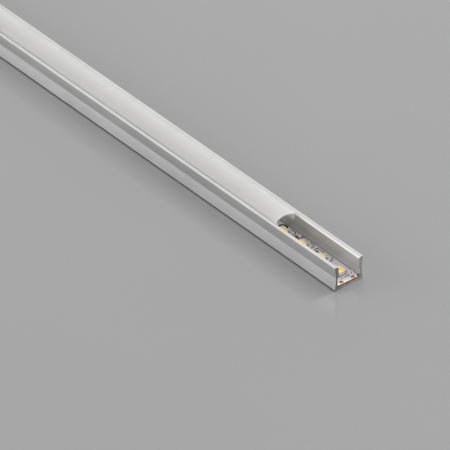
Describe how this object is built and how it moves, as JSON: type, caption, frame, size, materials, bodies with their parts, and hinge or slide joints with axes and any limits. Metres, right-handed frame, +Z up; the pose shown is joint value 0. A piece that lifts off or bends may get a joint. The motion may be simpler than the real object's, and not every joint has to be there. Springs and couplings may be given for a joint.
{
  "type": "led strip aluminium profile",
  "caption": "Waisted U-shaped aluminium extrusion holding a flexible LED strip under a snap-in opal diffuser that slides along it and is set back from the open end.",
  "frame": {"origin": "middle of the channel's underside, half way along its length", "axes": "+X along the channel towards the end where the diffuser is set back, +Y across it, +Z up from the underside towards the diffuser"},
  "size_m": [0.3, 0.0102, 0.0093],
  "materials": {
    "channel": "satin anodised, fine drawn lines along its length",
    "diffuser": "opal, satin",
    "tape": "matt, brown adhesive",
    "board": "white solder mask with copper pads",
    "led": "white package with a yellow phosphor window",
    "resistor": "black body with tinned ends"
  },
  "bodies": {
    "profile": {"aluminium_channel": "channel", "adhesive_tape": "tape", "flexible_board": "board", "led_01": "led", "led_02": "led", "led_03": "led", "led_04": "led", "led_05": "led", "led_06": "led", "led_07": "led", "led_08": "led", "led_09": "led", "led_10": "led", "led_11": "led", "led_12": "led", "led_13": "led", "led_14": "led", "led_15": "led", "led_16": "led", "led_17": "led", "led_18": "led", "led_19": "led", "led_20": "led", "led_21": "led", "led_22": "led", "led_23": "led", "led_24": "led", "led_25": "led", "led_26": "led", "led_27": "led", "led_28": "led", "led_29": "led", "led_30": "led", "led_31": "led", "led_32": "led", "led_33": "led", "led_34": "led", "led_35": "led", "led_36": "led", "resistor_01": "resistor", "resistor_02": "resistor", "resistor_03": "resistor", "resistor_04": "resistor", "resistor_05": "resistor", "resistor_06": "resistor", "resistor_07": "resistor", "resistor_08": "resistor", "resistor_09": "resistor", "resistor_10": "resistor", "resistor_11": "resistor", "resistor_12": "resistor"},
    "diffuser": {"opal_diffuser": "diffuser"}
  },
  "joints": [
    {"name": "diffuser_slide", "type": "slide", "parent": "profile", "child": "diffuser", "axis": [1, 0, 0], "range_m": [-0.274, 0.302]}
  ]
}
